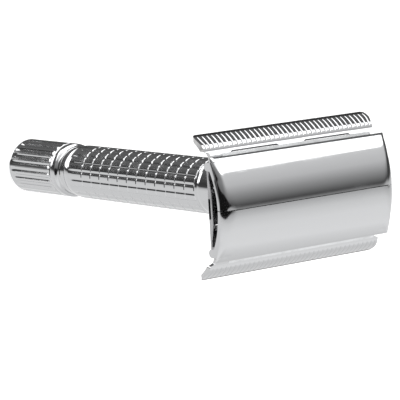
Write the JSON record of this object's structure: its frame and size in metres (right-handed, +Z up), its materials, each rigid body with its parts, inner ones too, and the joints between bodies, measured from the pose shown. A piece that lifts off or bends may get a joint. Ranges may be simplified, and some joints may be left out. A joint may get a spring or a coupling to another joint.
{
  "type": "safety razor",
  "caption": "Twist-to-open double-edge safety razor: arched doors over a bent blade, ribbed guard bars, grip handle with raised pads and a fluted knob that lifts and opens the doors.",
  "frame": {"origin": "centre of the flat end of the knob, on which the razor stands", "axes": "+Z up the handle to the crown of the head, +X along the cutting edges, +Y towards the rear door"},
  "size_m": [0.044, 0.0286, 0.101],
  "materials": {
    "chrome_plate": "polished plate",
    "inner_steel": "nickel satin",
    "blade_steel": "ground stainless",
    "brass": "machined"
  },
  "bodies": {
    "handle": {"handle_tube": "chrome_plate", "knob_bearing": "brass", "spindle_guide": "brass", "guard_plate": "chrome_plate", "front_bed_rail": "inner_steel", "rear_bed_rail": "inner_steel", "bed_rivets": "inner_steel", "centre_rail": "inner_steel", "rail_rivets": "inner_steel", "double_edge_blade": "blade_steel"},
    "knob": {"knob_shell": "chrome_plate", "knob_end_cap": "chrome_plate", "drive_tube": "brass", "friction_washer": "inner_steel", "retaining_clip": "inner_steel"},
    "carriage": {"spindle": "inner_steel", "lifter_bar": "inner_steel", "left_end_bracket": "inner_steel", "right_end_bracket": "inner_steel", "hinge_pins": "inner_steel"},
    "front_door": {"front_door": "chrome_plate"},
    "rear_door": {"rear_door": "chrome_plate"}
  },
  "joints": [
    {"name": "knob_turn", "type": "hinge", "parent": "handle", "child": "knob", "pos_m": [0, 0, 0], "axis": [0, 0, 1], "range_deg": [0, 720]},
    {"name": "carriage_lift", "type": "slide", "parent": "handle", "child": "carriage", "axis": [0, 0, 1], "range_m": [0, 0.0026]},
    {"name": "front_door_swing", "type": "hinge", "parent": "carriage", "child": "front_door", "pos_m": [0, -0.0085, 0.0964], "axis": [1, 0, 0], "range_deg": [0, 75]},
    {"name": "rear_door_swing", "type": "hinge", "parent": "carriage", "child": "rear_door", "pos_m": [0, 0.0085, 0.0964], "axis": [-1, 0, 0], "range_deg": [0, 75]}
  ],
  "couplings": [
    {"joint": "knob_turn", "follows": "carriage_lift", "rad_per_m": 4833.2},
    {"joint": "front_door_swing", "follows": "carriage_lift", "rad_per_m": 503.46},
    {"joint": "rear_door_swing", "follows": "carriage_lift", "rad_per_m": 503.46}
  ]
}
